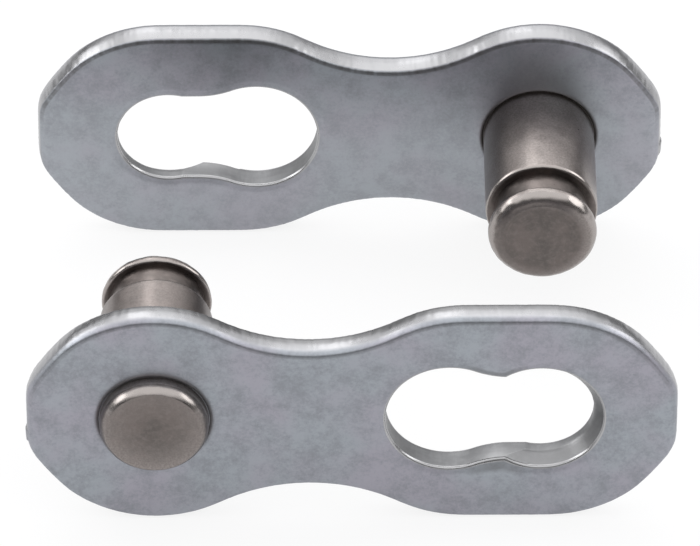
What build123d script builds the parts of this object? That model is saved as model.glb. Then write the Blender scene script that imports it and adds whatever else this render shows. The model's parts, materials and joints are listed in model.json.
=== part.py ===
"""Two-piece connecting link for a bicycle roller chain, pulled apart along its pins."""

import os
from math import atan, atan2, cos, degrees, radians, sin

from build123d import *

# chain size, millimetres
pitch = 12.7
unlock_travel = 3.0  # from the locked seat back to the wide end of the keyhole

# plate
plate_thickness = 0.95
lobe_radius = 4.2
waist_half_width = 2.78
far_lobe_start = 10.18  # from the pin, where the long flat edge begins
slot_end_reach = 4.49  # from the locked seat to the sheared end
end_flat_half = 1.2  # half the height of the flat sheared across each end
end_corner_angle = 46.0  # where the sheared corner leaves the round lobe, above the long axis
rim_round = 0.15  # outer edge, rolled by the die
end_bevel_length = 0.28
end_bevel_depth = 0.12

# witness left on the pin end where the blank was cut from its strip
witness_height = 0.45
witness_drop = 0.82
witness_proud = 0.05

# keyhole
wide_radius = 2.1
seat_radius = 1.76
neck_half_width = 1.7
neck_round = 3.0
seat_mouth_radius = 2.06
seat_depth = 0.5
keyhole_edge = 0.09

# pin
head_radius = 1.8
head_proud = 0.6
head_edge_in = 0.1
head_edge_down = 0.3
bore_radius = 1.7
shank_radius = 1.9
shank_length = 4.2
shank_edge = 0.12
groove_radius = 1.6
groove_length = 1.02
tip_radius = 1.84
tip_length = 0.53
tip_land_radius = 1.38
tip_dome = 0.26
tip_back_edge = 0.08

# the two halves, pulled apart
face_gap = 14.4  # between the two inner faces

# worked-out places, measured from the pin along the plate
far_end = pitch + slot_end_reach
far_lobe_end = far_end - lobe_radius
end_corner = (lobe_radius * cos(radians(end_corner_angle)), lobe_radius * sin(radians(end_corner_angle)))
waist_reach = far_lobe_start / 2
lobe_over_waist = lobe_radius - waist_half_width
waist_radius = (waist_reach**2 / lobe_over_waist - lobe_radius - waist_half_width) / 2
waist_rise = waist_half_width + waist_radius
waist_angle = degrees(atan2(waist_rise, waist_reach))
wide_reach = pitch - unlock_travel
seat_angle = 2 * degrees(atan((seat_mouth_radius - seat_radius) / seat_depth))

# and along the pin, from the plate's inner face towards the tip
head_face = -plate_thickness - head_proud
groove_end = shank_length + groove_length
tip_face = groove_end + tip_length

# the rear half's own planes: from its pin towards its keyhole, and along its pin towards the tip
pin_foot = ((far_end - lobe_radius) / 2, face_gap / 2, lobe_radius)
plate_plane = Plane(origin=pin_foot, x_dir=(-1, 0, 0), z_dir=(0, 1, 0))
plan_plane = Plane(origin=pin_foot, x_dir=(-1, 0, 0), z_dir=(0, 0, -1))
pin_plane = Plane(origin=pin_foot, x_dir=(0, -1, 0), z_dir=(0, 0, 1))

with BuildPart(plate_plane) as rear_plate:
    # stamped blank: round pin lobe, drawn-in waist, long far lobe, both ends sheared flat
    with BuildSketch(plate_plane) as blank:
        with BuildLine() as blank_outline:
            Polyline((-lobe_radius, 0), (-lobe_radius, end_flat_half), (-end_corner[0], end_corner[1]))
            CenterArc((0, 0), lobe_radius, 180 - end_corner_angle, waist_angle + end_corner_angle - 180)
            CenterArc((waist_reach, waist_rise), waist_radius, 180 + waist_angle, 180 - 2 * waist_angle)
            CenterArc((far_lobe_start, 0), lobe_radius, 180 - waist_angle, waist_angle - 90)
            Line((far_lobe_start, lobe_radius), (far_lobe_end, lobe_radius))
            CenterArc((far_lobe_end, 0), lobe_radius, 90, end_corner_angle - 90)
            Polyline((far_lobe_end + end_corner[0], end_corner[1]), (far_end, end_flat_half), (far_end, 0))
            mirror(about=Plane.XZ)
        make_face()
    extrude(amount=plate_thickness)
    # the die rolls its outer edge and leaves the inner one sharp
    fillet(rear_plate.faces().sort_by(Axis.Y)[-1].edges(), radius=rim_round)

    # both sheared ends are coined to a shallow bevel on each face
    with BuildSketch(plan_plane) as plan:
        with BuildLine() as plan_outline:
            Polyline(
                (-lobe_radius, plate_thickness / 2),
                (-lobe_radius, end_bevel_depth),
                (end_bevel_length - lobe_radius, 0),
                (far_end - end_bevel_length, 0),
                (far_end, end_bevel_depth),
                (far_end, plate_thickness / 2),
            )
            mirror(about=Plane.XZ.offset(-plate_thickness / 2))
        make_face()
    extrude(amount=lobe_radius, both=True, mode=Mode.INTERSECT)

    with BuildSketch(plate_plane.offset(end_bevel_depth)) as witness:
        with Locations((-lobe_radius, -witness_drop)):
            Rectangle(2 * witness_proud, witness_height)
    extrude(amount=plate_thickness - 2 * end_bevel_depth)

    # keyhole: wide end for the other tip, neck for its groove, and the locked seat
    with BuildSketch(plate_plane) as keyhole:
        with Locations((wide_reach, 0)):
            Circle(wide_radius)
        with Locations(((wide_reach + pitch) / 2, 0)):
            Rectangle(unlock_travel, 2 * neck_half_width)
        fillet(keyhole.vertices().sort_by(Axis.X)[:2], radius=neck_round)
    extrude(amount=plate_thickness, mode=Mode.SUBTRACT)
    with Locations((pitch, 0, plate_thickness)):
        CounterSinkHole(seat_radius, seat_mouth_radius, counter_sink_angle=seat_angle)
    for side_face in rear_plate.faces().filter_by(Plane.XZ).sort_by(SortBy.AREA)[-2:]:
        keyhole_rims = side_face.inner_wires().edges()
        chamfer(keyhole_rims, length=keyhole_edge)

    # bore for the riveted pin
    with Locations((0, 0, plate_thickness)):
        Hole(bore_radius)

with BuildPart() as rear_pin:
    # one turned pin: head riveted over the plate, shank, groove for the other seat, domed tip
    with BuildSketch(pin_plane) as pin_profile:
        with BuildLine() as pin_outline:
            Line((head_face, 0), (head_face, head_radius - head_edge_in))
            EllipticalCenterArc(
                (head_face + head_edge_down, head_radius - head_edge_in),
                x_radius=head_edge_down,
                y_radius=head_edge_in,
                start_angle=90,
                arc_size=90,
            )
            Polyline(
                (head_face + head_edge_down, head_radius),
                (-plate_thickness, head_radius),
                (-plate_thickness, bore_radius),
                (0, bore_radius),
                (0, shank_radius),
                (shank_length - shank_edge, shank_radius),
                (shank_length, shank_radius - shank_edge),
                (shank_length, groove_radius),
                (groove_end, groove_radius),
                (groove_end, tip_radius - tip_back_edge),
                (groove_end + tip_back_edge, tip_radius),
                (tip_face - tip_dome, tip_radius),
            )
            EllipticalCenterArc(
                (tip_face - tip_dome, tip_land_radius),
                x_radius=tip_dome,
                y_radius=tip_radius - tip_land_radius,
                start_angle=0,
                arc_size=90,
            )
            Polyline((tip_face, tip_land_radius), (tip_face, 0), (head_face, 0))
        make_face()
    revolve(axis=Axis(pin_foot, (0, -1, 0)))

# the front half is the same part turned end for end
with BuildPart() as front_plate:
    add(rear_plate.part, rotation=(0, 0, 180))

with BuildPart() as front_pin:
    add(rear_pin.part, rotation=(0, 0, 180))

os.makedirs("parts", exist_ok=True)

rear_plate.part.label = "rear_plate"
export_step(rear_plate.part, "parts/rear_plate.step")

rear_pin.part.label = "rear_pin"
export_step(rear_pin.part, "parts/rear_pin.step")

front_plate.part.label = "front_plate"
export_step(front_plate.part, "parts/front_plate.step")

front_pin.part.label = "front_pin"
export_step(front_pin.part, "parts/front_pin.step")
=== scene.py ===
import json
import math

import bmesh
import bpy
import numpy as np
from mathutils import Matrix, Vector, geometry, noise


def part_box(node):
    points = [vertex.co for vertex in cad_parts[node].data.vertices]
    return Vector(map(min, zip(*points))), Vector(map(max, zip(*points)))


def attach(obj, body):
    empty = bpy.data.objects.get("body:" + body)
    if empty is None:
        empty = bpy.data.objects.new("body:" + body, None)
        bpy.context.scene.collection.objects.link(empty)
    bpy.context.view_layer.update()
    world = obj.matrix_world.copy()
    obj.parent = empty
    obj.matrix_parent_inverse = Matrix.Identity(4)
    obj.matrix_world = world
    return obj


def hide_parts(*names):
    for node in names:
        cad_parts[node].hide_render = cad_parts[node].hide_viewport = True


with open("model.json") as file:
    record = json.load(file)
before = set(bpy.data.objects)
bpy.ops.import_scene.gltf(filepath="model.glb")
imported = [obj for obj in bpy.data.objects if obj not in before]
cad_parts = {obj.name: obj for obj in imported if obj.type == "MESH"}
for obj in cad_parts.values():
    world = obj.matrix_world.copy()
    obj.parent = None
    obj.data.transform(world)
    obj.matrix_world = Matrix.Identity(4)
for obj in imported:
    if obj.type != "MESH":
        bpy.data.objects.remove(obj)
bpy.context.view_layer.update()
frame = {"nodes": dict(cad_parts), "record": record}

mm = 0.001
print("frame loaded:", ", ".join(sorted(frame["nodes"])))

# the link's two halves are alike, each a stamped plate with a riveted pin, so one is drawn for both,
# in millimetres: u runs from its pin to its keyhole, v runs up, and w runs from the plate's inner
# face (0) to its outer face
plateLow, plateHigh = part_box("rear_plate")
rearShank = next(mount for mount in frame["record"]["mounts"] if mount["name"] == "rear_shank")
pinFoot = Vector((rearShank["pos_m"][0], plateLow.y, rearShank["pos_m"][2]))
plateThickness = (plateHigh.y - plateLow.y) / mm
plateTop = (plateHigh.z - pinFoot.z) / mm
halfTurn = Matrix.Rotation(math.pi, 4, "Z")


def placeHalf(u, v, w, body):
    spot = pinFoot + Vector((-u, w, v)) * mm
    return halfTurn @ spot if body == "front_half" else spot


class Wire:  # a node's output, so that shader maths is written like any other
    def __init__(self, paint, socket):
        self.paint, self.socket = paint, socket

    def maths(self, operation, first, second):
        return self.paint.node("ShaderNodeMath", {"operation": operation}, {0: first, 1: second})

    def __add__(self, other):
        return self.maths("ADD", self, other)

    def __radd__(self, other):
        return self.maths("ADD", other, self)

    def __sub__(self, other):
        return self.maths("SUBTRACT", self, other)

    def __rsub__(self, other):
        return self.maths("SUBTRACT", other, self)

    def __mul__(self, other):
        return self.maths("MULTIPLY", self, other)

    def __rmul__(self, other):
        return self.maths("MULTIPLY", other, self)

    def __neg__(self):
        return self.maths("MULTIPLY", self, -1.0)

    def highest(self, other):
        return self.maths("MAXIMUM", self, other)

    def between(self, low, high):  # 0 below low, 1 above high, smooth in between
        values = {"Value": self, "From Min": low, "From Max": high}
        return self.paint.node("ShaderNodeMapRange", {"interpolation_type": "SMOOTHSTEP"}, values)


class Paint:  # one material's or world's nodes
    def __init__(self, owner):
        owner.use_nodes = True
        self.nodes, self.links = owner.node_tree.nodes, owner.node_tree.links
        self.nodes.clear()

    def node(self, kind, settings=None, values=None, output=0):  # settings first, then its sockets
        made = self.nodes.new(kind)
        for name, value in (settings or {}).items():
            if name == "stops":
                ramp = made.color_ramp.elements
                while len(ramp) < len(value):
                    ramp.new(1.0)
                for stop, (place, colour) in zip(ramp, value):
                    stop.position, stop.color = place, colour
            else:
                setattr(made, name, value)
        for name, value in (values or {}).items():
            if isinstance(value, Wire):
                self.links.new(value.socket, made.inputs[name])
            else:
                made.inputs[name].default_value = value
        return Wire(self, made.outputs[output]) if made.outputs else None

    def mix(self, factor, first, second):  # colours
        return self.node("ShaderNodeMix", {"data_type": "RGBA"}, {0: factor, 6: first, 7: second}, 2)

    def blend(self, factor, first, second):  # shaders
        return self.node("ShaderNodeMixShader", None, {0: factor, 1: first, 2: second})

    def stretch(self, vector, scale):
        return self.node("ShaderNodeVectorMath", {"operation": "MULTIPLY"}, {0: vector, 1: scale})

    def along(self, vector, way):
        return self.node("ShaderNodeVectorMath", {"operation": "DOT_PRODUCT"}, {0: vector, 1: way}, "Value")

    def spot(self):  # the spot that is painted, in millimetres
        return self.stretch(self.node("ShaderNodeTexCoord", output="Object"), (1 / mm, 1 / mm, 1 / mm))

    def cloud(self, vector, scale, detail, roughness):
        values = {"Vector": vector, "Scale": scale, "Detail": detail, "Roughness": roughness}
        return self.node("ShaderNodeTexNoise", {"noise_dimensions": "3D"}, values)

    def carried(self, name, output="Fac"):  # a value that the mesh carries
        return self.node("ShaderNodeAttribute", {"attribute_name": name}, output=output)

    def metal(self, colour, roughness, depth, height):  # closes a material, with its fine grain as bump
        bump = self.node("ShaderNodeBump", None, {"Strength": 0.5, "Distance": depth, "Height": height})
        values = {"Base Color": colour, "Metallic": 1.0, "Roughness": roughness, "Normal": bump}
        shader = self.node("ShaderNodeBsdfPrincipled", None, values)
        self.node("ShaderNodeOutputMaterial", None, {"Surface": shader})


plateSteel = {
    "pale": (0.347, 0.372, 0.402, 1.0),
    "lilac": (0.358, 0.350, 0.394, 1.0),
    "lilacRange": (0.38, 0.66),
    "shade": (0.258, 0.268, 0.292, 1.0),
    "shadeRange": (0.40, 0.66),
    "shadeShare": 0.8,
    "shadeMix": (0.6, 0.4),  # patches, speckle
    # painted light and painted shade on the inner faces: paler lower down, darker towards their tops
    "lowerLight": (0.46, 0.475, 0.50, 1.0),
    "lowerLightShare": 0.25,
    "topShadeColour": (0.0, 0.0, 0.0, 1.0),
    "topShade": 0.43,
    "topShadeRise": (3.4, 8.4),
    "topShadeAside": (3.6, 7.6),
    "topShadeWaist": (1.0, 4.0),
    "waistTopShade": 0.5,
    "rim": (0.365, 0.365, 0.375, 1.0),
    "rimShade": (0.31, 0.312, 0.322, 1.0),
    "rimShadeRange": (0.42, 0.62),
    "rimShadeShare": 0.7,
    "rimShadeMix": (0.5, 0.5),  # streaks, blotches
    "broken": (0.33, 0.33, 0.337, 1.0),
    "hole": (0.165, 0.167, 0.171, 1.0),
    "holePale": (0.20, 0.202, 0.206, 1.0),
    "holePaleRange": (0.4, 0.62),
    "holePaleMix": (0.3, 0.7),  # streaks, blotches
    # colour of the painted highlight on the keyhole's rounded edges, its neck and its seat
    "sheenColour": (0.42, 0.42, 0.425, 1.0),
    # colour of the painted shade
    "paintedShadeColour": (0.11, 0.105, 0.10, 1.0),
    "broadScale": 0.35,  # clouds in each millimetre
    "patchScale": 1.3,
    "speckleScale": 9.0,
    "streakScale": (6.0, 0.6, 6.0),
    "blotchScale": (0.9, 2.6, 0.9),
    "roughness": 0.45,
    "rimRoughness": 0.28,
    "patchRoughness": 0.1,
    "speckleRoughness": 0.2,
    "grain": 0.0036 * mm,
    "streakGrain": 0.15,  # as a share of the grain
}


def makePlateSteel():
    steel = plateSteel
    material = bpy.data.materials.new("satinPlateSteel")
    paint = Paint(material)
    spot = paint.spot()
    rim, hole, rubbed = paint.carried("sheared"), paint.carried("punched"), paint.carried("rubbed")
    broad = paint.cloud(spot, steel["broadScale"], detail=3.0, roughness=0.5)
    patches = paint.cloud(spot, steel["patchScale"], detail=5.0, roughness=0.65)
    speckle = paint.cloud(spot, steel["speckleScale"], detail=4.0, roughness=0.75)
    face = paint.mix(broad.between(*steel["lilacRange"]), steel["pale"], steel["lilac"])
    clouded = patches * steel["shadeMix"][0] + speckle * steel["shadeMix"][1]
    face = paint.mix(clouded.between(*steel["shadeRange"]) * steel["shadeShare"], face, steel["shade"])

    # painted shade darkens the inner faces towards their tops, less so at the waist and ends, and painted
    # light makes them paler lower down
    inward = paint.carried("inward")
    height = paint.along(spot, (0.0, 0.0, 1.0)).between(*steel["topShadeRise"])
    aside = paint.along(spot, (1.0, 0.0, 0.0))
    aside = aside.highest(-aside)
    topShaded = steel["waistTopShade"] + (1 - steel["waistTopShade"]) * aside.between(*steel["topShadeWaist"])
    topShaded = topShaded * (1 - aside.between(*steel["topShadeAside"]))
    face = paint.mix(inward * (1 - height) * steel["lowerLightShare"], face, steel["lowerLight"])
    face = paint.mix(height * inward * topShaded * steel["topShade"], face, steel["topShadeColour"])

    # marks left by the shear and the punch run straight through the plate's thickness
    streaks = paint.cloud(paint.stretch(spot, steel["streakScale"]), 1.0, detail=4.0, roughness=0.65)
    blotches = paint.cloud(paint.stretch(spot, steel["blotchScale"]), 1.0, detail=4.0, roughness=0.6)
    marks = streaks * steel["rimShadeMix"][0] + blotches * steel["rimShadeMix"][1]
    marks = marks.between(*steel["rimShadeRange"]) * steel["rimShadeShare"]
    edge = paint.mix(marks, steel["rim"], steel["rimShade"])
    edge = paint.mix(paint.carried("broken"), edge, steel["broken"])
    faint = streaks * steel["holePaleMix"][0] + blotches * steel["holePaleMix"][1]
    wall = paint.mix(faint.between(*steel["holePaleRange"]), steel["hole"], steel["holePale"])
    # painted highlight: the keyhole's rounded edges, neck and seat are made paler
    wall = paint.mix(rubbed, wall, steel["sheenColour"])
    colour = paint.mix(hole, paint.mix(rim, face, edge), wall)
    # painted shade: darker along the upper edges, beside the neck and in the dishes round the pin
    colour = paint.mix(paint.carried("grimy"), colour, steel["paintedShadeColour"])

    smoother = rim.highest(rubbed)
    roughness = steel["roughness"] + (steel["rimRoughness"] - steel["roughness"]) * smoother
    roughness = roughness + (patches - 0.5) * steel["patchRoughness"]
    roughness = roughness + (speckle - 0.5) * (1 - smoother) * steel["speckleRoughness"]
    grain = speckle * (1 - rim) + streaks * rim * steel["streakGrain"]
    paint.metal(colour, roughness, steel["grain"], grain)
    return material


pinSteel = {
    "warm": (0.156, 0.134, 0.125, 1.0),
    "grey": (0.121, 0.108, 0.101, 1.0),
    "greyRange": (0.35, 0.68),
    "pink": (0.218, 0.190, 0.179, 1.0),
    "pinkRange": (0.42, 0.70),
    "pinkShare": 0.45,
    "pinkMix": (0.3, 0.7),  # lines, speckle
    # paler ground steel; on the head and the tip it is partly painted light
    "ground": (0.37, 0.334, 0.317, 1.0),
    "groundAndLightMix": (0.8, 2.0),  # patches, grit
    # colour of the shoulders, paler from wear and from painted highlight
    "worn": (0.355, 0.326, 0.310, 1.0),
    "wearAndSheenRange": (0.2, 0.75),
    "wearAndSheenMix": (0.5, 0.6),  # patches, speckle
    "lineScale": (16.0, 1.6, 1.6),  # along the pin's outline, then round it
    "patchScale": 1.3,  # clouds in each millimetre
    "speckleScale": 6.0,
    "gritScale": 15.0,
    "roughness": 0.25,
    "wearAndSheenRoughness": 0.26,
    "patchRoughness": 0.12,
    "speckleRoughness": 0.1,
    "grain": 0.0016 * mm,
    "grainMix": (0.5, 1.2, 0.7),  # lines, speckle, grit
}


def makePinSteel():
    steel = pinSteel
    material = bpy.data.materials.new("turnedPinSteel")
    paint = Paint(material)
    spot = paint.spot()
    turned = paint.stretch(paint.carried("turning", "Vector"), steel["lineScale"])
    lines = paint.cloud(turned, 1.0, detail=4.0, roughness=0.6)
    patches = paint.cloud(spot, steel["patchScale"], detail=4.0, roughness=0.6)
    speckle = paint.cloud(spot, steel["speckleScale"], detail=4.0, roughness=0.6)
    grit = paint.cloud(spot, steel["gritScale"], detail=2.0, roughness=0.6)
    colour = paint.mix(patches.between(*steel["greyRange"]), steel["warm"], steel["grey"])
    pink = lines * steel["pinkMix"][0] + speckle * steel["pinkMix"][1]
    colour = paint.mix(pink.between(*steel["pinkRange"]) * steel["pinkShare"], colour, steel["pink"])
    # paler ground steel, partly painted light on the head and the tip
    uneven = 1 + (patches - 0.5) * steel["groundAndLightMix"][0] + (grit - 0.5) * steel["groundAndLightMix"][1]
    colour = paint.mix(paint.carried("ground") * uneven, colour, steel["ground"])
    # the shoulders' paler colour: wear and painted highlight
    uneven = (speckle - 0.5) * steel["wearAndSheenMix"][1] + (patches - 0.5) * steel["wearAndSheenMix"][0]
    rubbed = (paint.carried("worn") + uneven).between(*steel["wearAndSheenRange"])
    colour = paint.mix(rubbed, colour, steel["worn"])
    rough = steel["roughness"] + patches * steel["patchRoughness"]
    rough = rough + (speckle - 0.5) * steel["speckleRoughness"]
    roughness = rough + (steel["wearAndSheenRoughness"] - rough) * rubbed
    lineGrain, speckleGrain, gritGrain = steel["grainMix"]
    grain = lines * lineGrain + speckle * speckleGrain + grit * gritGrain
    paint.metal(colour, roughness, steel["grain"], grain)
    return material


plateMaterial, pinMaterial = makePlateSteel(), makePinSteel()
print("steels mixed")

sharpFrom = 28  # degrees between two faces where their edge stays crisp
quarterTurn = [math.radians(15 * k) for k in range(7)]


def finishPiece(place, kind, points, faces, marks, material):
    node, body, slot = place + "_" + kind, place + "_half", kind + "_steel"
    name = node + "Dressed"
    mesh = bpy.data.meshes.new(name)
    mesh.from_pydata([placeHalf(*point, body) for point in points], [], faces)
    for mark, values in marks.items():
        if mark == "turning":
            lines = mesh.attributes.new(mark, "FLOAT_VECTOR", "POINT")
            lines.data.foreach_set("vector", [value for row in values for value in row])
        else:
            mesh.attributes.new(mark, "FLOAT", "POINT").data.foreach_set("value", values)
    shape = bmesh.new()
    shape.from_mesh(mesh)
    bmesh.ops.recalc_face_normals(shape, faces=shape.faces)
    shape.to_mesh(mesh)
    shape.free()
    mesh.materials.append(material)
    mesh.shade_smooth()
    mesh.set_sharp_from_angle(angle=math.radians(sharpFrom))
    piece = bpy.data.objects.new(name, mesh)
    bpy.context.scene.collection.objects.link(piece)
    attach(piece, body)
    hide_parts(node)
    print(name, len(faces), "faces")


def joinRings(rings):  # faces between neighbouring rings, where a ring of one point closes an end
    faces, count = [], max(len(ring) for ring in rings)
    for low, high in zip(rings, rings[1:]):
        for i in range(count):
            j = (i + 1) % count
            corners = [low[i % len(low)], low[j % len(low)], high[j % len(high)], high[i % len(high)]]
            faces.append(tuple(dict.fromkeys(corners)))
    return faces


def ripple(spot, size, lacunarity=2.1):  # a fine unevenness in steel, the same at each run
    return noise.fractal(Vector(spot), 0.6, lacunarity, 3) * size


def trace(pieces, spacing=0.01):
    # straight pieces are (start, end), round ones (centre, radius, from, to) in degrees
    points = []
    for piece in pieces:
        if len(piece) == 2:
            start, end = Vector(piece[0]), Vector(piece[1])
            count = math.ceil((end - start).length / spacing)
            points += [start.lerp(end, step / count) for step in range(count)]
        else:
            centre, radius, first, last = piece
            count = math.ceil(math.radians(abs(last - first)) * radius / spacing)
            angles = [math.radians(first + (last - first) * step / count) for step in range(count)]
            points += [Vector(centre) + radius * Vector((math.cos(a), math.sin(a))) for a in angles]
    return points


def bowed(start, end, rise):  # a shallow round piece that swells to the left of its way
    start, end = Vector(start), Vector(end)
    half = (end - start) / 2
    radius = (half.length_squared / rise + rise) / 2
    centre = start + half - Vector((-half.y, half.x)).normalized() * (radius - rise)
    first = math.degrees(math.atan2(start.y - centre.y, start.x - centre.x))
    last = math.degrees(math.atan2(end.y - centre.y, end.x - centre.x))
    return tuple(centre), radius, first, last


def loopNormals(loop):
    tangents = np.roll(loop, -1, 0) - np.roll(loop, 1, 0)
    normals = np.stack([-tangents[:, 1], tangents[:, 0]], 1)
    return normals / np.linalg.norm(normals, axis=1)[:, None]


def closeLoop(topHalf, spacing, soften=50):
    # the lower half mirrors the upper one, then points are spread evenly and corners eased
    loop = topHalf + [Vector((point.x, -point.y)) for point in reversed(topHalf[1:])]
    along = [0.0]
    for a, b in zip(loop, loop[1:] + loop[:1]):
        along.append(along[-1] + (b - a).length)
    count = round(along[-1] / spacing)
    xs = [point.x for point in loop] + [loop[0].x]
    ys = [point.y for point in loop] + [loop[0].y]
    even = np.linspace(0.0, along[-1], count, endpoint=False)
    spots = np.stack([np.interp(even, along, xs), np.interp(even, along, ys)], 1)
    for _ in range(soften):
        spots = (np.roll(spots, 1, 0) + 2 * spots + np.roll(spots, -1, 0)) / 4
    return spots, loopNormals(spots), even


def insideLoop(loop, spots):
    nextLoop = np.roll(loop, -1, 0)
    x, y = spots[:, :1], spots[:, 1:]
    crosses = (loop[:, 1] > y) != (nextLoop[:, 1] > y)
    rise = np.where(nextLoop[:, 1] == loop[:, 1], 1.0, nextLoop[:, 1] - loop[:, 1])
    meets = (nextLoop[:, 0] - loop[:, 0]) * (y - loop[:, 1]) / rise + loop[:, 0]
    return np.count_nonzero(crosses & (x < meets), axis=1) % 2 == 1


def onFace(loops, spots):  # inside the first loop and outside the other two
    return insideLoop(loops[0], spots) & ~insideLoop(loops[1], spots) & ~insideLoop(loops[2], spots)


plateForm = {
    "pitch": 12.7,
    "unlockTravel": 3.0,
    "waistHalf": 2.78,
    "farLobeStart": 10.18,
    "slotEndReach": 4.49,
    "endFlatHalf": 1.2,
    "endCornerAngle": 46.0,
    "endBow": 0.06,
    "coinLength": 0.28,  # the ends are pressed thinner over this length
    "coinDepth": 0.12,
    "witnessHeight": 0.45,  # the stub left where the strip was cut off
    "witnessDrop": 0.82,
    "witnessProud": 0.05,
    "witnessSpan": (0.15, 0.85),  # as shares of the thickness
    "rimSpacing": 0.055,
    "rollIn": 0.14,  # the outer edge, rolled over by the die
    "rollDepth": 0.26,
    "rollSteps": 8,
    "breakDepth": 0.45,  # the torn part of the cut, tapering towards the inner face
    "breakIn": 0.05,
    "breakSteps": 3,
    "backEdge": 0.08,  # the small rounding at the inner face
    "drawIn": 0.08,  # both faces dip a little where the cut drew them in
    "drawDepth": 0.015,
    "barrel": 0.022,  # the cut is fullest at mid thickness
    "rimRipple": 0.004,
    "breakRipple": 0.008,
    "rimRippleScale": (5.0, 0.8),  # along the edge, through the plate
    "tornFade": (2.2, 3.2),  # the break's own colour ends about two thirds of the way through
    "shearedFade": (1.5, 0.5),
    # painted shade along the thin edges where they face up
    "backShade": 0.6,
    "backShadeShare": 0.4,  # of the back edge
    "rollShade": 0.25,
    "rollShadeFrom": 0.9,  # as a share of the roll's depth
    "shadeUpPower": 0.3,
    "shadeUneven": (0.9, 0.5),
    "wideRadius": 2.1,
    "seatRadius": 1.76,
    "seatMouthRadius": 2.06,  # the seat is a cone that opens to the outer face
    "seatDepth": 0.5,
    # painted highlight on the seat's cone
    "seatHighlight": 0.22,
    "neckHalf": 1.7,
    "neckRound": 3.0,
    "neckAt": 11.25,  # where the pins have worn the neck, and how far to each side
    "neckSpan": 1.0,
    "neckWear": 0.9,
    # painted highlight on the neck, stronger towards the outer face
    "neckHighlight": 0.5,
    "neckHighlightPower": 1.6,
    # painted shade on the face beside the neck
    "neckShade": 0.45,
    "holeEdge": 0.1,
    "holeDraw": 0.21,  # the faces sink towards the keyhole
    "holeSink": 0.055,
    "holeSteps": 8,
    "holeRipple": 0.0004,  # as a share of the spot's place
    "holeRippleScale": (4.0, 0.7),
    "wayPoints": 110,
    "seatPoints": 60,
    "boreRadius": 1.7,
    "shankDish": ((0.0, 2.04), (0.015, 1.985), (0.04, 1.945), (0.07, 1.915)),  # depth, radius
    "headDish": ((0.07, 1.825), (0.035, 1.87), (0.012, 1.93), (0.0, 2.0)),
    "boreCount": 180,
    # painted shade in the dishes round the shank and the head
    "dishShadeDepth": 0.035,
    "headDishShade": 0.4,
    "dip": (0.4, 0.5),  # where a face's two slopes to an edge meet, as shares of depth and width
    "crownDepth": 0.02,  # the inner face is pressed slightly full
    "crownRise": 0.09,
    "crownWidth": 2.4,
    "gridSpacing": 0.3,  # of the points that the faces are filled with
    "rowSpacing": 0.87,  # as a share of the grid's spacing
    "bendSpacing": 0.15,
    "besideLoop": 0.06,
    "leastGap": 0.045,
}
farEnd = plateForm["pitch"] + plateForm["slotEndReach"]


def plateOutline(form):
    radius, half, start = plateTop, form["waistHalf"], form["farLobeStart"]
    farLobe = farEnd - radius
    turn = math.radians(form["endCornerAngle"])
    corner = radius * Vector((math.cos(turn), math.sin(turn)))
    waistRadius = ((start / 2) ** 2 / (radius - half) - radius - half) / 2
    rise = half + waistRadius
    angle = math.degrees(math.atan2(rise, start / 2))
    flat = form["endFlatHalf"]
    return trace([
        ((-radius, 0), (-radius, flat)),
        bowed((-radius, flat), (-corner.x, corner.y), form["endBow"]),
        ((0, 0), radius, 180 - form["endCornerAngle"], angle),
        ((start / 2, rise), waistRadius, 180 + angle, 360 - angle),
        ((start, 0), radius, 180 - angle, 90),
        ((start, radius), (farLobe, radius)),
        ((farLobe, 0), radius, 90, form["endCornerAngle"]),
        bowed((farLobe + corner.x, corner.y), (farEnd, flat), form["endBow"]),
        ((farEnd, flat), (farEnd, 0)),
    ])


def keyholeOutline(form, seatRadius, away):
    # the wide lobe and neck up to where the seat's circle cuts them, then that circle
    wide, round, neck = form["wideRadius"] + away, form["neckRound"] - away, form["neckHalf"] + away
    wideAt = form["pitch"] - form["unlockTravel"]
    blendAt = wideAt + math.sqrt((wide + round) ** 2 - (neck + round) ** 2)
    blendAngle = math.degrees(math.atan2(neck + round, blendAt - wideAt))
    way = np.array(trace([
        ((wideAt, 0), wide, 180, blendAngle),
        ((blendAt, neck + round), round, blendAngle + 180, 270),
        ((blendAt, neck), (form["pitch"], neck)),
    ], spacing=0.004))
    reach = seatRadius + away
    way = way[: np.argmax(np.hypot(way[:, 0] - form["pitch"], way[:, 1]) < reach)]
    meets = math.atan2(way[-1][1], way[-1][0] - form["pitch"])
    turns = np.linspace(meets, 0.0, form["seatPoints"])
    seat = np.stack([form["pitch"] + reach * np.cos(turns), reach * np.sin(turns)], 1)
    along = np.concatenate([[0.0], np.cumsum(np.hypot(*np.diff(way, axis=0).T))])
    even = np.linspace(0.0, along[-1], form["wayPoints"])
    way = np.stack([np.interp(even, along, way[:, 0]), np.interp(even, along, way[:, 1])], 1)
    half = np.concatenate([way[:-1], seat])
    return np.concatenate([half, half[-2:0:-1] * (1, -1)])


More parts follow.
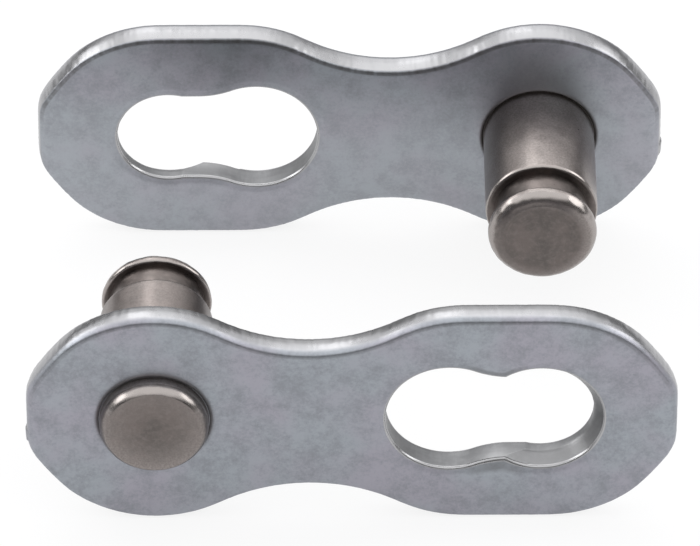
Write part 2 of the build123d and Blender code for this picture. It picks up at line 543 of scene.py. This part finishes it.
class Sheet:  # one plate as it grows: its points, the marks that they carry, and its faces
    def __init__(self, rim):
        self.border = rim[::4]  # near enough together to measure from
        self.points, self.faces = [], []
        self.marks = {mark: [] for mark in ("sheared", "broken", "punched", "rubbed", "grimy", "inward")}

    def crown(self, spot, w):  # the inner face swells a little away from its border
        away = math.sqrt(float(((self.border - spot) ** 2).sum(1).min()))
        share = max(0.0, 1 - away / plateForm["crownWidth"])
        rise = (plateForm["crownDepth"] + plateForm["crownRise"]) * share ** 2 - plateForm["crownRise"]
        return rise * (1 - w / plateThickness)

    def addPoint(self, spot, w, **marks):
        fromEnd = min(spot[0] + plateTop, farEnd - spot[0])
        lift = plateForm["coinDepth"] * max(0.0, 1 - fromEnd / plateForm["coinLength"])
        depth = lift + (plateThickness - 2 * lift) * w / plateThickness
        self.points.append((spot[0], spot[1], depth + self.crown(np.array(spot[:2]), w)))
        marks["inward"] = float(w < plateThickness / 2)
        for mark, values in self.marks.items():
            values.append(marks.get(mark, 0.0))
        return len(self.points) - 1

    def addBand(self, rings):
        self.faces += joinRings(rings)
        return rings[0], rings[-1]

    def fillFace(self, loops, w):  # a flat face between its border, the keyhole and the bore
        flat = [np.array([self.points[i][:2] for i in loop]) for loop in loops]
        firstNew = len(self.points)
        for spot in faceSpots(flat):
            self.addPoint(spot, w)
        index = [i for loop in loops for i in loop] + list(range(firstNew, len(self.points)))
        edges, start = [], 0
        for loop in loops:
            edges += [(start + i, start + (i + 1) % len(loop)) for i in range(len(loop))]
            start += len(loop)
        corners = [Vector(self.points[i][:2]) for i in index]
        spots, _, triangles, origins, _, _ = geometry.delaunay_2d_cdt(corners, edges, [], 0, 1e-7)
        centres = [sum((spots[i] for i in triangle), Vector((0, 0))) / 3 for triangle in triangles]
        for triangle, wanted in zip(triangles, onFace(flat, np.array(centres))):
            if wanted:
                self.faces.append(tuple(index[origins[i][0]] for i in triangle))


def faceSpots(loops):  # spots spread over a face, along its two bends and beside each loop
    form, step = plateForm, plateForm["gridSpacing"]
    rows = math.ceil(plateTop / (step * form["rowSpacing"]))
    grid = []
    for row in range(-rows, rows + 1):
        for column in range(math.floor(-plateTop / step) - 1, math.ceil(farEnd / step) + 1):
            grid.append(((column + 0.5 * (row % 2)) * step, row * step * form["rowSpacing"]))
    bendRows = math.ceil(plateTop / form["bendSpacing"])
    for bend in (-plateTop + form["coinLength"], farEnd - form["coinLength"]):
        grid += [(bend, row * form["bendSpacing"]) for row in range(-bendRows, bendRows + 1)]
    for loop, side in zip(loops, (-1, 1, 1)):
        outward = loopNormals(loop)
        if float(((loop - loop.mean(0)) * outward).sum()) < 0:
            outward = -outward
        grid += [tuple(spot) for spot in (loop + outward * side * form["besideLoop"])[::2]]
    grid = np.array(grid)
    grid = grid[onFace(loops, grid)]
    # spare points too near each other or a loop are left out
    grid = grid[np.sort(np.unique(grid.round(2), axis=0, return_index=True)[1])]
    edgeSpots = np.concatenate(loops)
    nearest = np.array([np.min(np.abs(edgeSpots - spot).sum(1)) for spot in grid])
    return grid[nearest > form["leastGap"]]


def rimSection(form):
    # (w, distance in from the outline): back edge, tapering break, burnished band, rolled edge
    back, breakIn, breakDepth = form["backEdge"], form["breakIn"], form["breakDepth"]
    draw, drawDepth, roll, rollDepth = form["drawIn"], form["drawDepth"], form["rollIn"], form["rollDepth"]
    dipDepth, dipIn = form["dip"]
    section = [(0.0, breakIn + back + draw), (drawDepth * dipDepth, breakIn + back + draw * dipIn)]
    for turn in quarterTurn[1:]:
        w = drawDepth + back * (1 - math.cos(turn))
        section.append((w, breakIn * (1 - w / breakDepth) + back * (1 - math.sin(turn))))
    steps = form["breakSteps"]
    for k in range(1, steps + 1):
        w = drawDepth + back + (breakDepth - drawDepth - back) * k / steps
        section.append((w, breakIn * (1 - w / breakDepth)))
    rollStart = plateThickness - drawDepth - rollDepth
    section += [(breakDepth + (rollStart - breakDepth) * k / steps, 0.0) for k in range(1, steps)]
    for k in range(form["rollSteps"]):
        turn = math.radians(90 * k / form["rollSteps"])
        section.append((rollStart + rollDepth * math.sin(turn), roll * (1 - math.cos(turn))))
    section.append((plateThickness - drawDepth * dipDepth, roll + draw * dipIn))
    section.append((plateThickness, roll + draw))
    return section


def addRim(sheet, outline, seed):
    form, thick = plateForm, plateThickness
    back, drawDepth, rollDepth = form["backEdge"], form["drawDepth"], form["rollDepth"]
    backEnd = drawDepth + back * form["backShadeShare"]
    rollEnd = thick - drawDepth - rollDepth + rollDepth * form["rollShadeFrom"]
    evenShade, unevenShade = form["shadeUneven"]
    stubStart, stubEnd = form["witnessSpan"]
    alongScale, throughScale = form["rimRippleScale"]
    rings = []
    for w, inset in rimSection(form):
        rough = form["breakRipple"] if w < form["breakDepth"] else form["rimRipple"]
        bulge = form["barrel"] * (2 * w / thick - 1) ** 2
        wall = min(1.0, (w - drawDepth) / back, (thick - drawDepth - w) / rollDepth)
        sheared = max(0.0, form["shearedFade"][0] * wall - form["shearedFade"][1])
        torn = min(1.0, max(0.0, form["tornFade"][0] - form["tornFade"][1] * w / thick))
        # painted shade darkens the two thin edges, unevenly, where they face up
        shaded = form["backShade"] * (0 < w < backEnd) + form["rollShade"] * (rollEnd < w < thick)
        ring = []
        for spot, normal, along in zip(*outline):
            uneven = ripple((along * alongScale, w * throughScale, seed), rough)
            onStub = abs(spot[1] + form["witnessDrop"]) < form["witnessHeight"] / 2
            onStub = onStub and spot[0] < -plateTop + 0.02 and stubStart < w / thick < stubEnd
            proud = form["witnessProud"] if onStub else 0.0
            spot = spot + normal * (proud + uneven - inset - bulge)
            upward = max(0.0, normal[1]) ** form["shadeUpPower"]
            dark = shaded * (upward * (evenShade + unevenShade * uneven / rough))
            ring.append(sheet.addPoint(spot, w, sheared=sheared, broken=torn, grimy=dark))
        rings.append(ring)
    return sheet.addBand(rings)


def keyholeSection(form):  # (w, distance out from the wall), with a small rounded edge at both faces
    edge, sink, draw = form["holeEdge"], form["holeSink"], form["holeDraw"]
    dipDepth, dipIn = form["dip"]
    rounding = [(0.0, edge + draw), (sink * dipDepth, edge + draw * dipIn)]
    rounding += [(sink + edge * (1 - math.cos(turn)), edge * (1 - math.sin(turn))) for turn in quarterTurn]
    straight, steps = plateThickness - 2 * (sink + edge), form["holeSteps"]
    wall = [(sink + edge + straight * k / steps, 0.0) for k in range(1, steps)]
    return rounding + wall + [(plateThickness - w, away) for w, away in rounding[::-1]]


def addKeyhole(sheet, seed):
    form, thick = plateForm, plateThickness
    edge, seat, seatDepth = form["holeEdge"], form["seatRadius"], form["seatDepth"]
    alongScale, throughScale = form["holeRippleScale"]
    distances = np.cumsum(np.hypot(*np.diff(keyholeOutline(form, seat, 0.0), axis=0, prepend=0).T))
    rings = []
    for w, away in keyholeSection(form):
        outer = float(w > thick / 2)
        share = min(1.0, max(0.0, (w - thick + seatDepth) / (seatDepth - edge - form["holeSink"])))
        cone = seat + (form["seatMouthRadius"] - seat) * share
        ring = []
        for spot, distance in zip(keyholeOutline(form, cone, away), distances):
            uneven = ripple((distance * alongScale, w * throughScale, seed + 9), form["holeRipple"])
            near = max(0.0, 1 - abs(spot[0] - form["neckAt"]) / form["neckSpan"]) ** 0.5
            coned = math.dist(spot, (form["pitch"], 0.0)) < cone + 0.01 and share > 0
            # painted highlight: paler on the neck, the seat and the keyhole's rounded edges
            rubbed = max(
                near * (w / thick) ** form["neckHighlightPower"] * form["neckHighlight"],
                form["seatHighlight"] * coned * abs(spot[1]),
                float(0 < away < edge),
            )
            # painted shade on the face beside the neck
            dark = form["neckShade"] * near * (away >= edge) * outer * (w < thick)
            worn = form["neckWear"] * near * outer * (spot[1] < 0)  # where a pin slides over it
            spot = spot * (1 + uneven) - (0.0, away * worn)
            depth = w - (thick - w) * worn * (away > 0)
            ring.append(sheet.addPoint(spot, depth, punched=float(away < edge), rubbed=rubbed, grimy=dark))
        rings.append(ring)
    return sheet.addBand(rings)


def addBore(sheet):  # with a shallow dish round the shank and another round the head, both darkened with painted shade
    form, thick, bore = plateForm, plateThickness, plateForm["boreRadius"]
    section = list(form["shankDish"]) + [(form["shankDish"][-1][0], bore)]
    section.append((thick - form["headDish"][0][0], bore))
    section += [(thick - depth, radius) for depth, radius in form["headDish"]]
    turns = [2 * math.pi * i / form["boreCount"] for i in range(form["boreCount"])]
    rings = []
    for w, radius in section:
        shaded = min(1.0, w / form["dishShadeDepth"])
        if w >= thick / 2:
            shaded = form["headDishShade"] * min(1.0, (thick - w) / form["dishShadeDepth"])
        circle = [(radius * math.cos(turn), radius * math.sin(turn)) for turn in turns]
        rings.append([sheet.addPoint(spot, w, grimy=shaded) for spot in circle])
    return sheet.addBand(rings)


def makePlate(place, seed):
    outline = closeLoop(plateOutline(plateForm), plateForm["rimSpacing"])
    sheet = Sheet(outline[0])
    rimInner, rimOuter = addRim(sheet, outline, seed)
    holeInner, holeOuter = addKeyhole(sheet, seed)
    boreInner, boreOuter = addBore(sheet)
    sheet.fillFace([rimInner, holeInner, boreInner], 0.0)
    sheet.fillFace([rimOuter, holeOuter, boreOuter], plateThickness)
    finishPiece(place, "plate", sheet.points, sheet.faces, sheet.marks, plateMaterial)


for place, seed in (("rear", 3.0), ("front", 47.0)):
    makePlate(place, seed)

pinLow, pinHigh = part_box("rear_pin")
headFace = (pinHigh.y - pinFoot.y) / mm
tipFace = (pinLow.y - pinFoot.y) / mm
pinForm = {
    "headRadius": 1.8,
    "headFlat": 1.59,  # the land that the hammer flattened
    "headHollow": 0.035,
    "headTilt": 38,
    "headTiltPower": 1.0,
    "headFoot": 1.81,
    "headBand": 0.05,
    "footDepth": 0.15,
    "boreRadius": plateForm["boreRadius"],
    "shankRadius": rearShank["dims"]["r_mm"],
    "shankLength": 4.2,
    "shankEdge": 0.12,
    "grooveRadius": 1.6,
    "grooveLength": 1.02,
    "tipRadius": 1.84,
    "tipLand": 1.38,  # the flat of the tip
    "tipTilt": 8,
    "tipTiltPower": 1.35,
    "tipBackEdge": 0.1,
    "landEdge": 0.02,
    "hollowSteps": 16,
    "shankSteps": 24,
    "edgeSteps": 8,
    "grooveSteps": 16,
    "backSteps": 4,
    "landSteps": 12,
    "turns": 240,
    "wobble": 0.006,
    "wobbleScale": (2.0, 1.5),  # round the pin, along it
    "dents": 0.014,  # only on the riveted head and the tip
    "flatDents": 0.25,
    "dentScale": (1.8, 3.0),
    "wearAndSheenFrom": 1.55,  # shoulders past this radius are painted paler, as wear and painted highlight, most at this tilt
    "wearAndSheenTilt": 55,
    "wearAndSheenSpread": 38,
    "sheenBelow": 0.2,  # the head's painted highlight is weaker where it faces down
    "sheenAbove": (0.3, 0.45),
    "headGroundAndLight": 0.34,  # how much paler the head's border is painted: ground steel and painted light
    # painted light on the head's flank
    "flankLight": 0.7,
    "wallTilt": 80,
    # wear and painted light on the tip's shoulder ring, paler on one side
    "tipGroundAndLight": 0.5,
    "tipGroundAndLightFrom": (1.25, 0.55),
}


def leanOut(w, radius, lastRadius, firstTilt, power, way, steps=28):
    # a hammered shoulder, leaning more and more as it runs out from the flat land
    tilts = [math.radians(firstTilt + (90 - firstTilt) * (k / steps) ** power) for k in range(steps)]
    length = (lastRadius - radius) / sum(math.cos(tilt) for tilt in tilts)
    shoulder = [(w, radius)]
    for tilt in tilts:
        w += way * length * math.sin(tilt)
        radius += length * math.cos(tilt)
        shoulder.append((w, radius))
    return shoulder


def pinProfile(form):
    # (w, radius) from the middle of the riveted head to the middle of the tip
    flat, foot, steps = form["headFlat"], plateThickness - form["footDepth"], form["hollowSteps"]
    hollow = form["headHollow"]
    profile = [(headFace - hollow * (1 - (k / steps) ** 2), flat * k / steps) for k in range(steps)]
    profile += leanOut(headFace, flat, form["headRadius"], form["headTilt"], form["headTiltPower"], -1)
    profile += [(plateThickness + form["headBand"], form["headRadius"]), (foot, form["headFoot"])]
    profile += [(foot, form["boreRadius"]), (0.0, form["boreRadius"]), (0.0, form["shankRadius"])]
    edge, end, steps = form["shankEdge"], -form["shankLength"], form["shankSteps"]
    profile += [(end * k / steps, form["shankRadius"]) for k in range(1, steps)]
    for k in range(form["edgeSteps"] + 1):
        turn = math.radians(90 * k / form["edgeSteps"])
        radius = form["shankRadius"] - edge * (1 - math.cos(turn))
        profile.append((end + edge * (1 - math.sin(turn)), radius))
    grooveEnd, back, steps = end - form["grooveLength"], form["tipBackEdge"], form["grooveSteps"]
    profile += [(end - form["grooveLength"] * k / steps, form["grooveRadius"]) for k in range(steps + 1)]
    for k in range(form["backSteps"] + 1):
        turn = math.radians(90 * k / form["backSteps"])
        radius = form["tipRadius"] - back * (1 - math.sin(turn))
        profile.append((grooveEnd - back * (1 - math.cos(turn)), radius))
    shoulder = leanOut(tipFace, form["tipLand"], form["tipRadius"], form["tipTilt"], form["tipTiltPower"], 1)
    profile += shoulder[::-1]
    profile.append((tipFace, form["tipLand"] - form["landEdge"]))
    steps = form["landSteps"]
    profile += [(tipFace, form["tipLand"] * k / steps) for k in reversed(range(steps))]
    return profile


def hammer(form, w, radius, slope, strength, across, up, seed):
    # where a point of the turned pin ends up, a little out of round and dented
    roundScale, alongScale = form["wobbleScale"]
    spot = Vector((across * roundScale, up * roundScale, w * alongScale + seed))
    wobbled = radius + ripple(spot, form["wobble"], lacunarity=2.0) * min(1.0, radius)
    roundScale, alongScale = form["dentScale"]
    spot = Vector((spot.x * radius * roundScale, spot.y * radius * roundScale, w * alongScale + seed))
    blow = noise.noise(spot) * strength
    wobbled += blow * math.sin(slope)
    return wobbled * across, wobbled * up, w - blow * math.cos(slope)


def makePin(place, seed, shankPaleness):
    form, profile, points, rings = pinForm, pinProfile(pinForm), [], []
    marks = {"turning": [], "worn": [], "ground": []}
    travelled = 0.0
    for step, (w, radius) in enumerate(profile):
        before, after = profile[max(step - 1, 0)], profile[min(step + 1, len(profile) - 1)]
        travelled += math.dist(before, (w, radius))
        slope = math.atan2(abs(after[0] - before[0]), abs(after[1] - before[1]))
        lean = math.degrees(slope)
        # shoulders are painted paler where they lean near this tilt: wear and painted highlight
        rubbed = max(0.0, 1 - abs(lean - form["wearAndSheenTilt"]) / form["wearAndSheenSpread"])
        rubbed *= radius > form["wearAndSheenFrom"]
        head, tip = w > plateThickness, w < -form["shankLength"] - form["grooveLength"]
        shank = not head and radius > form["shankRadius"] - 0.01
        strength = form["dents"] * (form["flatDents"] + rubbed) * (head or tip) * min(1.0, radius)
        ring = []
        for k in range(form["turns"] if radius else 1):
            angle = 2 * math.pi * k / form["turns"]
            across, up = math.cos(angle), math.sin(angle)
            ring.append(len(points))
            points.append(hammer(form, w, radius, slope, strength, across, up, seed))
            # painted highlight: the head's shoulder is palest at its top
            above = 1.0
            if head:
                above = min(1.0, max(0.0, (up - form["sheenAbove"][0]) / form["sheenAbove"][1]))
            # painted light: the head's border is paler, less so at its top, and its flank paler still
            border = form["headGroundAndLight"] * (radius / form["headFlat"]) ** 2 * (1 - 0.5 * up)
            border += form["flankLight"] * (lean > form["wallTilt"])
            # wear and painted light: the tip's shoulder ring is paler, more on one side
            dome = form["tipGroundAndLight"] * max(0.0, radius - form["tipGroundAndLightFrom"][0]) / form["tipGroundAndLightFrom"][1]
            dome *= 1 - 0.5 * across
            marks["turning"].append((travelled, across + seed, up))
            marks["worn"].append(rubbed * (form["sheenBelow"] + (1 - form["sheenBelow"]) * above))
            marks["ground"].append(shankPaleness * shank + border * head + dome * tip)
        rings.append(ring)
    finishPiece(place, "pin", points, joinRings(rings), marks, pinMaterial)


# the rear shank is painted paler than the front one; the difference between the two alike pins is painted
# light
for place, seed, shankPaleness in (("rear", 5.0, 0.52), ("front", 23.0, 0.25)):
    makePin(place, seed, shankPaleness)

studio = {
    "floorHalf": 1.5,
    "floorColour": (0.80, 0.80, 0.81, 1.0),
    "floorFar": (0.22, 0.22, 0.225, 1.0),
    "floorGlow": 0.85,
    "floorShine": 0.6,
    "floorFade": (0.03, 0.14),
    "backLean": 0.15,
    "skyStrength": 3.0,
    "skyBlue": 1.01,
    "sky": ((0.26, 0.10), (0.40, 0.65), (0.52, 1.15), (0.66, 1.4), (1.0, 1.4)),  # height, glow
    "lamps": {  # place, size, glow
        "leftSoftbox": ((-0.295, 0.06, 0.15), (0.42, 0.15), 2.7),
        "rightSoftbox": ((0.30, 0.045, 0.155), (0.38, 0.15), 2.3),
        "backSoftbox": ((0.0, 0.35, 0.27), (0.25, 0.18), 0.4),
        "topSoftbox": ((0.0, 0.20, 0.36), (0.36, 0.20), 0.8),
        "narrowSoftbox": ((-0.08, 0.33, 0.27), (0.10, 0.14), 1.4),
    },
}


def makeFloor():
    # white to the camera, dimmer in the steel's mirrors, and darker there far from the link
    half = studio["floorHalf"]
    mesh = bpy.data.meshes.new("studioFloor")
    corners = [(-half, -half, 0), (half, -half, 0), (half, half, 0), (-half, half, 0)]
    mesh.from_pydata(corners, [], [(0, 1, 2, 3)])
    floor = bpy.data.objects.new("studioFloor", mesh)
    bpy.context.scene.collection.objects.link(floor)
    material = bpy.data.materials.new("paleFloor")
    paint = Paint(material)
    eye = paint.node("ShaderNodeLightPath", output="Is Camera Ray")
    mirrored = paint.node("ShaderNodeLightPath", output="Is Glossy Ray")
    mirrored = mirrored.highest(paint.node("ShaderNodeLightPath", output="Is Transmission Ray"))
    spot = paint.node("ShaderNodeTexCoord", output="Object")
    away = paint.node("ShaderNodeVectorMath", {"operation": "LENGTH"}, {0: spot}, "Value")
    far = away.between(*studio["floorFade"]) * mirrored * (1 - eye)
    nearMatt = paint.node("ShaderNodeBsdfDiffuse", None, {"Color": studio["floorColour"]})
    farMatt = paint.node("ShaderNodeBsdfDiffuse", None, {"Color": studio["floorFar"]})
    white = paint.node("ShaderNodeEmission", None, {"Color": (1.0, 1.0, 1.0, 1.0), "Strength": 1.0})
    seen = (eye * studio["floorGlow"]).highest(mirrored * studio["floorShine"] * (1 - far))
    glow = paint.blend(seen, paint.blend(far, nearMatt, farMatt), white)
    paint.node("ShaderNodeOutputMaterial", None, {"Surface": glow})
    mesh.materials.append(material)


def makeSky():
    world = bpy.data.worlds.new("studioRoom")
    bpy.context.scene.world = world
    paint = Paint(world)
    strength, blue = studio["skyStrength"], studio["skyBlue"]
    way = paint.node("ShaderNodeTexCoord", output="Generated")
    height = paint.along(way, (0.0, studio["backLean"], 1.0))
    stops = [
        (place, (glow / strength, glow / strength, glow * blue / strength, 1.0))
        for place, glow in studio["sky"]
    ]
    colour = paint.node("ShaderNodeValToRGB", {"stops": stops}, {"Fac": height})
    room = paint.node("ShaderNodeBackground", None, {"Color": colour, "Strength": strength})
    paint.node("ShaderNodeOutputWorld", None, {"Surface": room})


def makeLamp(name, place, size, glow):
    light = bpy.data.lights.new(name, "AREA")
    light.shape, light.size, light.size_y = "RECTANGLE", size[0], size[1]
    light.energy = math.pi * size[0] * size[1] * glow
    lamp = bpy.data.objects.new(name, light)
    lamp.location = place
    lamp.rotation_euler = (-Vector(place)).to_track_quat("-Z", "Y").to_euler()
    bpy.context.scene.collection.objects.link(lamp)


makeFloor()
makeSky()
for name, (place, size, glow) in studio["lamps"].items():
    makeLamp(name, place, size, glow)
print("studio set")

view = {
    "frame": (700, 546),  # pixels
    "aimPixel": (350.67, 266.30),
    "scale": 29.736,  # pixels in a millimetre
    "distance": 267.85,
    "elevation": 38.395,
    "azimuth": 0.316,
    "sensorWidth": 36.0,
}


def makeCamera():
    rise, swing = math.radians(view["elevation"]), math.radians(view["azimuth"])
    back = Vector((-math.sin(swing) * math.cos(rise), -math.cos(swing) * math.cos(rise), math.sin(rise)))
    right = Vector((math.cos(swing), -math.sin(swing), 0))
    up = right.cross(-back)
    across = (view["aimPixel"][0] - view["frame"][0] / 2) / view["scale"]
    down = (view["aimPixel"][1] - view["frame"][1] / 2) / view["scale"]
    aim = Vector((0, 0, pinFoot.z))
    lens = bpy.data.cameras.new("benchCamera")
    lens.sensor_width = view["sensorWidth"]
    lens.lens = view["scale"] * view["distance"] * lens.sensor_width / view["frame"][0]
    camera = bpy.data.objects.new("benchCamera", lens)
    camera.location = aim + (back * view["distance"] - right * across + up * down) * mm
    camera.rotation_euler = Matrix((right, up, back)).transposed().to_euler()
    bpy.context.scene.collection.objects.link(camera)
    bpy.context.scene.camera = camera


makeCamera()
bpy.context.scene.view_settings.view_transform = "Standard"
print("camera set")
